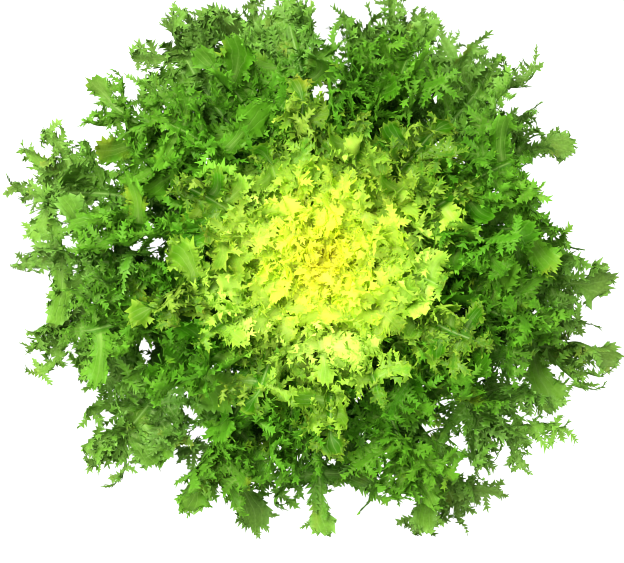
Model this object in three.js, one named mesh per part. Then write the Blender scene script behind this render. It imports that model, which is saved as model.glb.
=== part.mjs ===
// A head of curly endive (frisee), cut at the butt and resting on it, with its leaves spread open.
//
// A short stem carries the leaves in a spiral, each one a golden angle round from the last, from the
// oldest leaf at the bottom to the youngest at the top. The oldest lie almost flat and droop to the
// surface; the youngest stand upright round a closed bud. Every leaf is one closed solid: a ribbed
// stalk that widens into a lobed blade. All of them follow bowls of the same family, nested one
// inside the next, which is what keeps the leaves clear of each other.
//
// Units are millimetres, +Z is up, and the origin is the middle of the cut face.
import * as THREE from "three";

// ---------------------------------------------------------------- driving dimensions
const LEAF_COUNT = 58;
const GOLDEN_ANGLE = 137.508; // degrees from one leaf to the next
const FIRST_LEAF_AT = 195; // azimuth of the oldest leaf, degrees from +X towards +Y
const AZIMUTH_WANDER = 3; // degrees that a leaf may stray from the spiral
const SWAY = 7; // degrees that a leaf may curve sideways, by its tip
const SETTLED_LEAVES = 8; // the oldest leaves, whose tips come down to the surface
const SURFACE_CLEARANCE = 0.4; // between those tips and the surface that the head stands on
const STEM_CLEARANCE = 0.8; // between a leaf's stalk and the stem

const CUT_RADIUS = 19; // the flat cut face
const STEM_RADIUS = 22.5; // the widest part of the stem
const STEM_SHOULDER = 9; // height where the stem starts to narrow
const STEM_HEIGHT = 42;
const STEM_TIP_RADIUS = 3.2;

const LOWEST_STALK = 4.2; // height of the oldest leaf's stalk on the stem
const HIGHEST_STALK = 39.5; // and of the youngest

const BUD_RADIUS = 5.5;
const BUD_HEIGHT = 62;
const BUD_GAP = 0.4; // between the stem's tip and the bud

// How far the outer leaves reach from the middle, every 15 degrees from +X towards +Y.
const REACH = [
  179, 150, 181, 171, 157, 174, 171, 173, 169, 206, 204, 204,
  204, 189, 203, 188, 191, 158, 163, 183, 190, 183, 194, 178,
];
const MEAN_REACH = REACH.reduce((sum, reach) => sum + reach) / REACH.length;

// A leaf's posture by age, from the youngest to the oldest, in even steps.
const LENGTH_BY_AGE = [82, 96, 111, 127, 142, 155, 163, 166];
const RISE_BY_AGE = [85, 78, 70, 61, 51, 40, 28, 17]; // degrees above level where it leaves the stem
const TIP_BY_AGE = [62, 38, 19, 4, -9, -19, -27, -34]; // degrees above level at the tip
const HALF_WIDTH_BY_AGE = [9, 13, 17, 21, 25, 28, 30, 31]; // at the widest lobes
const STALK_BY_AGE = [1.5, 1.7, 2.0, 2.3, 2.6, 2.9, 3.2, 3.4]; // thickness of the stalk

const BEND_EXPONENT = 1.25; // above 1, a leaf bends more towards its tip
const HIGHEST_DROOP = -20; // degrees, where a settling leaf's tip starts from
const DROOP_STEP = 0.25; // degrees that it is let down at a time
const STALK_HALF_WIDTH = 0.17; // share of the leaf's half width, beside the stem
const BLADE_START = 0.2; // share of the length that is bare stalk
const TIP_THICKNESS = 0.45; // share of the stalk's thickness left at the tip
const NOTCH = 0.5; // share of a lobe's width left between two lobes
const RIB_BELOW = 0.62; // share of the thickness on the underside

const GROUPS = [
  { name: "outer_leaf", count: 16, lobes: 8, color: 0x3d7f1c, roughness: 0.55 },
  { name: "middle_leaf", count: 16, lobes: 8, color: 0x5c9c25, roughness: 0.55 },
  { name: "inner_leaf", count: 14, lobes: 6, color: 0xa9cf3a, roughness: 0.5 },
  { name: "heart_leaf", count: 12, lobes: 5, color: 0xe6ea4a, roughness: 0.5 },
];

// ---------------------------------------------------------------- small helpers
const radians = THREE.MathUtils.degToRad;
const lerp = THREE.MathUtils.lerp;

// The value at share 0 to 1 along a list of evenly spaced values.
function along(list, share) {
  const at = THREE.MathUtils.clamp(share, 0, 1) * (list.length - 1);
  const step = Math.min(Math.floor(at), list.length - 2);
  return lerp(list[step], list[step + 1], at - step);
}

// How far the outer leaves reach at an azimuth in degrees.
function reachAt(azimuth) {
  const turn = (((azimuth % 360) + 360) % 360) / 360;
  return along([...REACH, REACH[0]], turn);
}

// The stem's radius at a height.
function stemRadius(height) {
  if (height < STEM_SHOULDER) {
    const share = height / STEM_SHOULDER;
    return lerp(CUT_RADIUS, STEM_RADIUS, Math.sin((share * Math.PI) / 2));
  }
  const share = (height - STEM_SHOULDER) / (STEM_HEIGHT - STEM_SHOULDER);
  return lerp(STEM_TIP_RADIUS, STEM_RADIUS, Math.sqrt(Math.max(0, 1 - share ** 1.5)));
}

// A closed solid through rings of four corners each, with a flat end on the first and last ring.
function loft(rings) {
  const corners = 4;
  const index = [];
  for (let ring = 0; ring < rings.length - 1; ring++) {
    for (let corner = 0; corner < corners; corner++) {
      const a = ring * corners + corner;
      const b = ring * corners + ((corner + 1) % corners);
      index.push(a, a + corners, b, b, a + corners, b + corners);
    }
  }
  const last = (rings.length - 1) * corners;
  index.push(0, 1, 3, 1, 2, 3);
  index.push(last, last + 3, last + 1, last + 1, last + 3, last + 2);
  const geometry = new THREE.BufferGeometry().setFromPoints(rings.flat());
  geometry.setIndex(index);
  geometry.computeVertexNormals();
  return geometry;
}

// A solid of revolution about +Z, from a profile of radius and height.
function turned(profile, sides) {
  return new THREE.LatheGeometry(profile, sides).rotateX(Math.PI / 2);
}

function material(color, roughness) {
  return new THREE.MeshStandardMaterial({ color, roughness, metalness: 0 });
}

// ---------------------------------------------------------------- the stem and the bud
function stem() {
  const profile = [new THREE.Vector2(0, 0)];
  const steps = 9;
  for (let step = 0; step <= steps; step++) {
    const height = (STEM_HEIGHT * step) / steps;
    profile.push(new THREE.Vector2(stemRadius(height), height));
  }
  profile.push(new THREE.Vector2(0, STEM_HEIGHT));
  const mesh = new THREE.Mesh(turned(profile, 28), material(0xe9e6c2, 0.7));
  mesh.name = "stem_butt";
  return mesh;
}

function heartBud() {
  const profile = [];
  const steps = 8;
  for (let step = 0; step <= steps; step++) {
    const share = step / steps;
    const swell = Math.sin(Math.PI * share ** 0.8);
    profile.push(new THREE.Vector2(BUD_RADIUS * swell, BUD_HEIGHT * share));
  }
  profile[0].x = 0;
  profile[steps].x = 0;
  const mesh = new THREE.Mesh(turned(profile, 12), material(0xf0ec4e, 0.5));
  mesh.name = "heart_bud";
  mesh.position.z = STEM_HEIGHT + BUD_GAP;
  return mesh;
}

// ---------------------------------------------------------------- the leaves
// The midrib of a leaf from the stem to the tip: at each station its radius from the axis, height,
// slope and thickness. droop is how many degrees lower than its age says the tip hangs.
function midrib(age, length, stations, droop = 0) {
  const height = lerp(HIGHEST_STALK, LOWEST_STALK, age);
  const rise = radians(along(RISE_BY_AGE, age));
  const tip = radians(along(TIP_BY_AGE, age) - droop);
  const stretch = length / along(LENGTH_BY_AGE, age);
  const step = length / stations;
  const points = [];
  let r = stemRadius(height) + STEM_CLEARANCE;
  let z = height;
  for (let station = 0; station <= stations; station++) {
    const share = station / stations;
    const slope = rise + (tip - rise) * (stretch * share) ** BEND_EXPONENT;
    const thickness = along(STALK_BY_AGE, age) * lerp(1, TIP_THICKNESS, share);
    points.push({ share, r, z, slope, thickness });
    r += Math.cos(slope) * step;
    z += Math.sin(slope) * step;
  }
  return points;
}

// The lowest point of a leaf's underside.
function lowest(rib) {
  return Math.min(...rib.map(({ z, slope, thickness }) => z - Math.cos(slope) * thickness * RIB_BELOW));
}

// The midrib of a leaf that is let down until it comes to the surface.
function settledMidrib(age, length, stations) {
  let droop = HIGHEST_DROOP;
  let rib = midrib(age, length, stations, droop);
  let next = rib;
  while (lowest(next) > SURFACE_CLEARANCE) {
    rib = next;
    droop += DROOP_STEP;
    next = midrib(age, length, stations, droop);
  }
  return rib;
}

// Half the blade's width at share 0 to 1 of the leaf's length, before the notches.
function halfWidth(share, widest) {
  const stalk = widest * STALK_HALF_WIDTH;
  if (share < BLADE_START) return stalk;
  const blade = (share - BLADE_START) / (1 - BLADE_START);
  return stalk + (widest - stalk) * Math.sin(Math.PI * blade ** 0.85) ** 0.8;
}

// One leaf as a lofted solid. Each station is a flat kite: the two edges of the blade, and the
// midrib's top and underside. The edges turn about the head's axis at the midrib's own radius
// and height, so they stay on the leaf's bowl.
function leaf(number, group) {
  const age = 1 - number / (LEAF_COUNT - 1);
  const wander = AZIMUTH_WANDER * Math.sin(number * 2.4);
  const azimuth = FIRST_LEAF_AT + number * GOLDEN_ANGLE + wander;
  const sway = SWAY * Math.sin(number * 1.7);
  const length = along(LENGTH_BY_AGE, age) * lerp(1, reachAt(azimuth) / MEAN_REACH, age);
  const widest = along(HALF_WIDTH_BY_AGE, age);
  const stations = 2 * group.lobes + 3;
  const shape = number < SETTLED_LEAVES ? settledMidrib : midrib;
  const rings = shape(age, length, stations).map(({ share, r, z, slope, thickness }, station) => {
    const middle = radians(azimuth + sway * share ** 2);
    const lobe = share > BLADE_START && station % 2 === 0 ? NOTCH : 1;
    const edge = (halfWidth(share, widest) * lobe) / r;
    const point = (turn, offset) => {
      const radius = r - Math.sin(slope) * offset;
      const height = z + Math.cos(slope) * offset;
      return new THREE.Vector3(radius * Math.cos(turn), radius * Math.sin(turn), height);
    };
    return [
      point(middle + edge, 0),
      point(middle, -thickness * RIB_BELOW),
      point(middle - edge, 0),
      point(middle, thickness * (1 - RIB_BELOW)),
    ];
  });
  return new THREE.Mesh(loft(rings), material(group.color, group.roughness));
}

// ---------------------------------------------------------------- the head
const head = new THREE.Group();
head.name = "curly_endive_head";
head.add(stem());

let number = 0;
for (const group of GROUPS) {
  for (let n = 1; n <= group.count; n++) {
    const mesh = leaf(number, group);
    mesh.name = `${group.name}_${String(n).padStart(2, "0")}`;
    head.add(mesh);
    number += 1;
  }
}

head.add(heartBud());

export default head;
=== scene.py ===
# %% [markdown]
# # A head of curly endive, seen from above
#
# A head of curly endive is a short stem with 60 to 120 leaves in a spiral. Each leaf has a pale rib,
# and on both sides of it lobes that branch, branch again and end in points. The lobes curl up and over
# each other, and that tangle of points is what makes the head look curly. The solid model that is
# loaded here knows where every leaf runs and how long it is; this lesson grows the real leaf shapes
# along those lines. Lengths in the leaf steps are millimetres, and each mesh is turned into metres
# when it is made.

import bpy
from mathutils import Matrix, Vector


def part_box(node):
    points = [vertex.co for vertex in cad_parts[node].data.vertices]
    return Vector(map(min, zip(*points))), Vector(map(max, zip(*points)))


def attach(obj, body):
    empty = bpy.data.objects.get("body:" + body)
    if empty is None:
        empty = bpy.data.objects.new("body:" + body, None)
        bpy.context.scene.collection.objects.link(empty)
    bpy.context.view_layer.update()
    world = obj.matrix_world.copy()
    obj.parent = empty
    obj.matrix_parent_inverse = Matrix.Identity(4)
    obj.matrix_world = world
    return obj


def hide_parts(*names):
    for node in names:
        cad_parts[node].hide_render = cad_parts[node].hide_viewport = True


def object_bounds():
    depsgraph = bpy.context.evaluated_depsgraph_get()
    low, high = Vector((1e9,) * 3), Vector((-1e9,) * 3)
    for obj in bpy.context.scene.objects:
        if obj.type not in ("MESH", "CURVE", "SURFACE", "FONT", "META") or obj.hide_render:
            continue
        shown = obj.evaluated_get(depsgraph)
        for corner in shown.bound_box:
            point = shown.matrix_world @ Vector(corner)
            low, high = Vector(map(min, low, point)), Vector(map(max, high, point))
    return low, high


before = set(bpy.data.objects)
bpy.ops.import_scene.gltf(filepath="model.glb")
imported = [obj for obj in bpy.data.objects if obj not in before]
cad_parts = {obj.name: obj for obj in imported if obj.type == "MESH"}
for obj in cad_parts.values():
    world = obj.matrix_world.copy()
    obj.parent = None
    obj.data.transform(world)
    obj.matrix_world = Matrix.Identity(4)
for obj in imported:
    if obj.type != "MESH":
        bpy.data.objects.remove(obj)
solid_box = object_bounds()
print("solid model:", [[round(value, 3) for value in corner] for corner in solid_box])

# %% Other tools
import math
import random

import bpy
import numpy as np
from mathutils import Quaternion, Vector

MM = 0.001  # one millimetre in metres
scene = bpy.context.scene

# %% [markdown]
# ## The view and the light
#
# The head lies on a white table and is seen from almost straight above. A long lens a good metre
# away keeps the near leaves from looking larger than the far ones. The table has a glow that only the
# camera sees, so it stays white round the head and doesn't light the leaves from below. One large
# soft lamp at the upper left gives the leaves a lit side, and a white sky fills the rest. Between the
# leaves the head is deep and dark, so the picture gets more contrast than the plain setting has.

# %% Camera
VIEW_ELEVATION = 88  # degrees above the table
VIEW_DISTANCE = 1.25  # metres
VIEW_WIDTH = 0.385  # metres across the picture, at the height of the leaves
LEAF_HEIGHT = 0.05  # metres, where that width is measured
VIEW_CENTRE = (-0.006, -0.0137)  # metres, the point on the table's plan that the picture is centred on
SENSOR = 36  # millimetres

camera_data = bpy.data.cameras.new("camera")
camera = bpy.data.objects.new("camera", camera_data)
scene.collection.objects.link(camera)
scene.camera = camera
target = Vector((*VIEW_CENTRE, LEAF_HEIGHT))
elevation = math.radians(VIEW_ELEVATION)
camera.location = target + VIEW_DISTANCE * Vector((0, -math.cos(elevation), math.sin(elevation)))
camera.rotation_euler = (math.pi / 2 - elevation, 0, 0)
camera_data.sensor_width = SENSOR
camera_data.lens = SENSOR * VIEW_DISTANCE / VIEW_WIDTH
camera_data.clip_start = 0.05
camera_data.clip_end = 20
print("camera", round(camera_data.lens), "mm lens,", VIEW_DISTANCE, "m away")


# %% Table
def plain_material(name, color, roughness):
    """A material with one Principled shader, and its node tree and shader for more work."""
    material = bpy.data.materials.new(name)
    material.use_nodes = True
    shader = material.node_tree.nodes["Principled BSDF"]
    shader.inputs["Base Color"].default_value = (*color, 1)
    shader.inputs["Roughness"].default_value = roughness
    return material, material.node_tree, shader


TABLE_SIDE = 6  # metres
TABLE_GLOW = 0.95  # share of its look that is a plain white glow

reach = TABLE_SIDE / 2
table_corners = [(-reach, -reach, 0), (reach, -reach, 0), (reach, reach, 0), (-reach, reach, 0)]
table_mesh = bpy.data.meshes.new("table")
table_mesh.from_pydata(table_corners, [], [(0, 1, 2, 3)])
table = bpy.data.objects.new("table", table_mesh)
scene.collection.objects.link(table)
table_material, table_tree, table_shader = plain_material("white_table", (0.35, 0.35, 0.35), 0.8)
glow = table_tree.nodes.new("ShaderNodeEmission")
seen = table_tree.nodes.new("ShaderNodeLightPath")
glow_share = table_tree.nodes.new("ShaderNodeMath")
glow_share.operation = "MULTIPLY"
glow_share.inputs[1].default_value = TABLE_GLOW
table_mix = table_tree.nodes.new("ShaderNodeMixShader")
table_tree.links.new(seen.outputs["Is Camera Ray"], glow_share.inputs[0])
table_tree.links.new(glow_share.outputs[0], table_mix.inputs[0])
table_tree.links.new(table_shader.outputs[0], table_mix.inputs[1])
table_tree.links.new(glow.outputs[0], table_mix.inputs[2])
table_tree.links.new(table_mix.outputs[0], table_tree.nodes["Material Output"].inputs["Surface"])
table_mesh.materials.append(table_material)
print("table,", TABLE_SIDE, "m wide")

# %% Sky
SKY_OVERHEAD = 1.65  # brightness straight up
SKY_LEVEL = 0.36  # and at and below the horizon

sky = bpy.data.worlds.new("white_sky")
scene.world = sky
sky.use_nodes = True
sky_nodes = sky.node_tree.nodes
sky_links = sky.node_tree.links
direction = sky_nodes.new("ShaderNodeTexCoord")
direction_parts = sky_nodes.new("ShaderNodeSeparateXYZ")
brightness = sky_nodes.new("ShaderNodeMapRange")
brightness.inputs["To Min"].default_value = SKY_LEVEL
brightness.inputs["To Max"].default_value = SKY_OVERHEAD
sky_links.new(direction.outputs["Generated"], direction_parts.inputs[0])
sky_links.new(direction_parts.outputs["Z"], brightness.inputs["Value"])
sky_links.new(brightness.outputs["Result"], sky_nodes["Background"].inputs["Strength"])
sky_nodes["Background"].inputs["Color"].default_value = (1, 1, 1, 1)
print("sky from", SKY_LEVEL, "at the horizon to", SKY_OVERHEAD, "overhead")

# %% Lamp and picture settings
LAMP_PLACE = (-0.5, 0.35, 1.6)  # metres
LAMP_SIDE = 0.8  # metres
LAMP_POWER = 54  # watts

lamp_data = bpy.data.lights.new("key_lamp", "AREA")
lamp_data.shape = "SQUARE"
lamp_data.size = LAMP_SIDE
lamp_data.energy = LAMP_POWER
lamp = bpy.data.objects.new("key_lamp", lamp_data)
scene.collection.objects.link(lamp)
lamp.location = LAMP_PLACE
towards_head = Vector((0, 0, LEAF_HEIGHT)) - lamp.location
lamp.rotation_euler = towards_head.to_track_quat("-Z", "Y").to_euler()

scene.view_settings.view_transform = "Standard"
scene.view_settings.look = "Medium High Contrast"
scene.cycles.max_bounces = 28  # in the pale heart, light is passed on many times
scene.cycles.diffuse_bounces = 20
scene.cycles.transmission_bounces = 20
scene.cycles.filter_width = 1.0  # keeps the fine teeth crisp
print("lamp of", LAMP_POWER, "W,", round(lamp.location.length, 2), "m from the stem")

# %% [markdown]
# ## Where each leaf runs
#
# In the solid model a leaf is a plain plate. Its two edges stay level with each other all the way,
# so wherever two corners share a radius from the stem and a height, the leaf's middle line passes
# halfway between them. Reading the line from the mesh, and not from a list of numbers, keeps the
# leaves right if the solid model changes.

# %% Read the middle lines
SAME_PLACE = 0.02  # millimetres


def corners_of(node):
    """The corners of a node's mesh, in millimetres."""
    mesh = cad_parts[node].data
    corners = np.empty(len(mesh.vertices) * 3)
    mesh.vertices.foreach_get("co", corners)
    return corners.reshape(-1, 3) / MM


def middle_line(node):
    """The middle line of a leaf of the solid model, from the stem to the tip."""
    corners = np.unique(np.round(corners_of(node), 3), axis=0)
    radius = np.hypot(corners[:, 0], corners[:, 1])
    line = []
    for first in range(len(corners)):
        for second in range(first + 1, len(corners)):
            level = abs(corners[first, 2] - corners[second, 2]) < SAME_PLACE
            if level and abs(radius[first] - radius[second]) < SAME_PLACE:
                middle = Vector(corners[first] + corners[second]) / 2
                outward = Vector((middle.x, middle.y, 0)).normalized()
                line.append(outward * radius[first] + Vector((0, 0, corners[first, 2])))
    return sorted(line, key=lambda place: math.hypot(place.x, place.y))


leaf_nodes = sorted(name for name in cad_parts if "_leaf_" in name)
lines = {name: middle_line(name) for name in leaf_nodes}
print(len(lines), "leaves, stations:", sorted({len(line) for line in lines.values()}))

# %% [markdown]
# ## How a leaf is built
#
# A leaf could be cut from a bent plate, but then its lobes would all lie in that plate, and it is their
# curling out of it that makes the frill. So here a leaf is a tree of ribbons that each bend their own
# way. The first ribbon is the rib with a narrow strip of blade. Lobes grow from its edges, strands
# grow from the edges of the lobes, and teeth from the edges of the strands.
# Every ribbon starts from a row of points that its parent already has, so the whole leaf is one
# surface with no seams. Only the middle surface is grown here. It gets its thickness at the end, when
# each point is moved up and down along its normal. Points on the outer edge aren't moved, so the
# leaf closes there in a sharp, thin margin, as a real one does.


# %% The middle surface of a leaf
class Leaf:
    """A leaf while it grows: the points of its middle surface and the faces between them."""

    def __init__(self, seed, light, full):
        self.random = random.Random(seed)
        self.light = light  # how far its lobes turn their upper side to the sky
        self.full = full  # how much wider its straps and strands are than on the oldest leaves
        self.places = []
        self.body = []  # how thick the leaf is at each point, above and below
        self.paint = []  # along the leaf, towards the margin, tone, rib
        self.lobe = []  # across the ribbon, along it
        self.faces = []

    def point(self, place, body, paint, lobe):
        """Adds a point and returns its number."""
        self.places.append(place)
        self.body.append(body)
        self.paint.append(paint)
        self.lobe.append(lobe)
        return len(self.places) - 1

    def join(self, row, following):
        """Faces between two rows with as many points, or with twice or half as many gaps."""
        if len(following) == len(row):
            for left in range(len(row) - 1):
                self.faces.append((row[left], row[left + 1], following[left + 1], following[left]))
        elif len(following) > len(row):
            for left in range(len(row) - 1):
                far_left, far_middle, far_right = following[2 * left : 2 * left + 3]
                self.faces.append((row[left], far_middle, far_left))
                self.faces.append((row[left], row[left + 1], far_middle))
                self.faces.append((row[left + 1], far_right, far_middle))
        else:
            for left in range(len(following) - 1):
                near_left, near_middle, near_right = row[2 * left : 2 * left + 3]
                self.faces.append((near_left, near_middle, following[left]))
                self.faces.append((near_middle, following[left + 1], following[left]))
                self.faces.append((near_middle, near_right, following[left + 1]))


# %% [markdown]
# A ribbon grows forward a step at a time, like someone who walks with a hand out to the right. The
# heading keeps that place and its three directions. Before it would go through the table, or rise out
# of the head, it levels out.

# %% Headings
MOST_TURN = math.radians(100)
TABLE_GAP = 2.5  # millimetres that the middle of a ribbon keeps above the table
LOOK_AHEAD = 9.0  # millimetres over which it levels out
HIGHEST = solid_box[1][2] / MM + 5  # millimetres, a little above the tips of the solid leaves


class Heading:
    """A place on a leaf with three directions: forward, right and up."""

    def __init__(self, place, forward, right, up):
        self.place = place
        self.forward = forward
        self.right = right
        self.up = up

    def turn(self, curl=0.0, sweep=0.0, twist=0.0):
        """Curls towards the leaf's upper side, sweeps to the left and twists, in radians."""
        turning = Quaternion(self.right, curl) @ Quaternion(self.up, sweep) @ Quaternion(self.forward, twist)
        self.forward = turning @ self.forward
        self.right = turning @ self.right
        self.up = self.right.cross(self.forward)

    def turn_to_light(self, share):
        """The twist, in radians, that brings this share of the upper side's turn towards the sky."""
        angle = math.atan2(self.right.z, self.up.z)
        return share * max(-MOST_TURN, min(MOST_TURN, angle))

    def step(self, distance):
        """Moves forward, and levels out before the table and below the head's highest point."""
        steepest_down = (TABLE_GAP - self.place.z) / LOOK_AHEAD
        steepest_up = (HIGHEST - self.place.z) / LOOK_AHEAD
        if not steepest_down <= self.forward.z <= steepest_up:
            self.forward.z = max(steepest_down, min(steepest_up, self.forward.z))
            self.forward.normalize()
            self.right = (self.right - self.forward * self.right.dot(self.forward)).normalized()
            self.up = self.right.cross(self.forward)
        self.place = self.place + self.forward * distance


print("ribbons stay between", TABLE_GAP, "and", round(HIGHEST), "mm above the table")

# %% [markdown]
# A ribbon's form is a few numbers: its length, how wide it is at its neck and at its widest, and how
# much it curls, sweeps and twists on the way. The same function grows a smooth broad fan and a thin
# curly strand; only the numbers differ.


# %% The form of a ribbon
class Facts:
    """Named values. The ones that are stated go before the ones that the class gives."""

    def __init__(self, **stated):
        vars(self).update(stated)


class Form(Facts):
    """The shape of one ribbon, in millimetres, radians and shares.

    Every form states its length, its number of rows, and its half width at the neck and at its widest.
    """

    lift = 0.0  # how far it is raised at its foot
    curl = 0.0  # towards its upper side
    late = 1.0  # above 1, it curls more towards the end
    sweep = 0.0
    twist = 0.0
    cup = 0.0  # how far its sides rise
    ruffle = 0.0  # how far its sides wave up and down
    waves = 1.0  # how many times they do along its length
    arch = 0.3  # how far the end bulges forward
    scallop = 0.0  # how deep the end is cut into smaller lobes
    forks = ()  # rows where the number of gaps across doubles
    gathers = ()  # rows where it halves
    teeth = 0.0  # length of the teeth along its margin
    body = 0.25  # how thick it is above and below
    tone = 0.0  # its own shade, lighter below 0 and darker above
    pale = 0.3  # how far out its pale middle reaches at its foot


def blend(start, end, share):
    """The value at a share of the way from start to end."""
    return start + (end - start) * share


def ease(share):
    """The share, with a soft start and a soft end."""
    share = min(1.0, max(0.0, share))
    return share * share * (3 - 2 * share)


NECK_AT = 0.3  # share of a ribbon's length where it is narrowest
WIDE_AT = 0.85  # and from where it is widest


def half_width(form, base_half, share):
    """A ribbon's half width at a share of its length; base_half is that of the row it starts from."""
    if share < NECK_AT:
        return blend(base_half, form.neck, ease(share / NECK_AT))
    return blend(form.neck, form.wide, ease((share - NECK_AT) / (WIDE_AT - NECK_AT)))


sample_form = Form(neck=2, wide=5)
print("a form with a neck:", [round(half_width(sample_form, 3, share / 4), 1) for share in range(5)], "mm")

# %% Ribbons
TWIST_BY = 0.5  # share of the length by which its twist is done
WAVE_TURN = 2.2  # radians of a ruffle between the middle of a ribbon and its side
SCALLOPS = 1.25  # waves of a scalloped end between its middle and its side
MARGIN_SHADE = 0.7  # how strongly a ribbon's end is painted as margin, where it has no tooth


def base_half_width(leaf, base):
    """Half the length of a row of points."""
    return (leaf.places[base[-1]] - leaf.places[base[0]]).length / 2


def tooth_push(draw, heading, form, row, column, columns):
    """How far a point of a toothed ribbon stands out: every other one along its sides and its end."""
    push = form.teeth * draw(0.4, 1.4)
    aside = heading.right * (2 * column / columns - 1)
    raised = heading.up * draw(-0.3, 0.5)
    if row % 2 == 1 and column in (0, columns):
        return (aside + heading.forward * draw(0.3, 1.2) + raised) * push
    if row == form.rows and column % 2 == 1:
        return (heading.forward + aside * 0.3 + raised) * push
    return Vector()


def surface_place(heading, form, phase, half, share, across):
    """A point of a ribbon without its teeth; across runs from -1 at its left side to 1."""
    wave = form.ruffle * half * math.sin(phase + math.tau * form.waves * share + WAVE_TURN * across)
    rise = (form.cup * half + wave * min(1.0, 2 * share)) * across * across
    cut = form.scallop * math.cos(phase + math.tau * SCALLOPS * across) * share**2
    lag = (form.arch * across * across * share + cut) * half
    return heading.place + heading.right * (across * half) + heading.up * rise - heading.forward * lag


def ribbon(leaf, base, heading, form, along, reach=0.0):
    """Grows a ribbon from a row of points and returns its rows. along is its place on the leaf."""
    rows = [base]
    base_half = base_half_width(leaf, base)
    phase = leaf.random.uniform(0, math.tau)
    heading.turn(curl=form.lift)
    step = form.length / form.rows
    for row in range(1, form.rows + 1):
        share = row / form.rows
        before = (row - 1) / form.rows
        portion = share**form.late - before**form.late
        twisting = min(share, TWIST_BY) - min(before, TWIST_BY)
        heading.turn(form.curl * portion, form.sweep / form.rows, form.twist * twisting / TWIST_BY)
        heading.step(step)
        half = half_width(form, base_half, share)
        columns = len(rows[-1]) - 1
        if row in form.forks:
            columns *= 2
        if row in form.gathers:
            columns //= 2
        points = []
        for column in range(columns + 1):
            across = 2 * column / columns - 1
            place = surface_place(heading, form, phase, half, share, across)
            margin = MARGIN_SHADE * share * max(abs(across), 0.4)
            if form.teeth:
                push = tooth_push(leaf.random.uniform, heading, form, row, column, columns)
                place += push
                margin = 1.0 if push.length > 0 else margin
            vein = max(0.0, 1 - abs(across) / form.pale) * (1 - share)
            paint = (along + reach * share, margin, form.tone, vein)
            points.append(leaf.point(place, (form.body, form.body), paint, (across, share)))
        leaf.join(rows[-1], points)
        rows.append(points)
    return rows


# %% [markdown]
# Something new grows from a socket: a short row of points on the margin of what is there, and the
# point behind its middle, which tells which way is out.


# %% Sockets and teeth
def heading_at(leaf, base, inner):
    """The heading outwards from a row of margin points; inner is the point behind its middle."""
    first = leaf.places[base[0]]
    last = leaf.places[base[-1]]
    middle = leaf.places[base[len(base) // 2]]
    right = (last - first).normalized()
    out = middle - leaf.places[inner]
    out = (out - right * out.dot(right)).normalized()
    return Heading((first + last) / 2, out, right, right.cross(out))


def side_sockets(rows, span):
    """Where something can grow at a ribbon's sides: (side, share along the ribbon, base, inner)."""
    sockets = []
    for start in range(0, len(rows) - span, span):
        piece = rows[start : start + span + 1]
        share = (start + span / 2) / (len(rows) - 1)
        middle = piece[span // 2]
        sockets.append((-1, share, [row[0] for row in piece], middle[1]))
        sockets.append((1, share, [row[-1] for row in reversed(piece)], middle[-2]))
    return sockets


def end_sockets(rows, span=2):
    """Where something can grow at a ribbon's end: (base, inner)."""
    last = rows[-1]
    before = rows[-2]
    sockets = []
    for start in range(0, len(last) - span, span):
        inner = before[round((start + span / 2) * (len(before) - 1) / (len(last) - 1))]
        sockets.append((last[start : start + span + 1], inner))
    return sockets


def tooth(leaf, base, inner, length, curl, lean, tone, along):
    """A pointed tooth on two or three margin points."""
    heading = heading_at(leaf, base, inner)
    heading.turn(curl, lean)
    place = heading.place + heading.forward * length
    tip = leaf.point(place, (0, 0), (along, 1.0, tone, 0.0), (0.0, 1.0))
    for first, second in zip(base, base[1:]):
        leaf.faces.append((first, second, tip))


def faces_of(grow, *shape):
    """How many faces one tooth, strand or lobe has when it grows alone."""
    leaf = Leaf(seed=1, light=0.5, full=0.0)
    flat = ((0.2, 0.2), (0, 0, 0, 0), (0, 0))
    base = [leaf.point(Vector((2.4 * step, 0, 50)), *flat) for step in range(5)]
    inner = leaf.point(Vector((4.8, -5, 50)), *flat)
    grow(leaf, base, inner, *shape)
    return len(leaf.faces)


print("a tooth:", faces_of(tooth, 3, 0, 0, 0, 0.5), "faces")

# %% [markdown]
# ## Lobes, fans and strands
#
# A lobe of curly endive is a strap that carries toothed strands on both sides. Here and there along
# its sides, and at the tip of some leaves, a fan grows instead: broad and smooth, with strong teeth
# round its end. Neighbouring lobes lift by different amounts, which is how so much leaf finds room on
# one rib. All three are ribbons with a different form, and chance sets the numbers of each one, so no
# two are alike.

# %% Strands
def even_rows(size, spacing, least):
    """An even number of rows, about two in each spacing."""
    return max(least, 2 * round(size / spacing))


def strand(leaf, base, inner, size, side, tone, along):
    """A small ribbon with teeth on both sides and a point, slender or leafy."""
    draw = leaf.random.uniform
    half = base_half_width(leaf, base)
    heading = heading_at(leaf, base, inner)
    leafy = draw(0, 1) + leaf.full
    form = Form(
        length=size,
        rows=min(10, even_rows(size, 2.5, 2)),
        neck=half * blend(0.17, 0.6, leafy),
        wide=half * blend(0.1, 0.58, leafy),
        curl=math.radians(draw(-50, blend(190, 60, min(1.0, leafy)))),
        sweep=side * math.radians(draw(-20, 60)),
        twist=heading.turn_to_light(0.3) + math.radians(draw(-60, 60)),
        cup=draw(0.1, 0.5),
        lift=math.radians(draw(-30, 40)),
        body=0.2,
        tone=tone + draw(-0.12, 0.12),
        arch=0.2,
        teeth=1.3 + 0.1 * size,
    )
    grown = ribbon(leaf, base, heading, form, along)
    for base_of, inner_of in end_sockets(grown):
        tooth(leaf, base_of, inner_of, draw(1.2, 3.2), draw(-0.3, 0.7), draw(-0.5, 0.5), form.tone, along)


print("a strand:", faces_of(strand, 8, 1, 0, 0.5), "faces")

# %% Frilled lobes and fans
LOBE_SPACING = 4.2  # millimetres for every two rows of a lobe or fan
MANY_TEETH_FROM = 7  # millimetres of half width from where a fan's end forks twice


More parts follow.
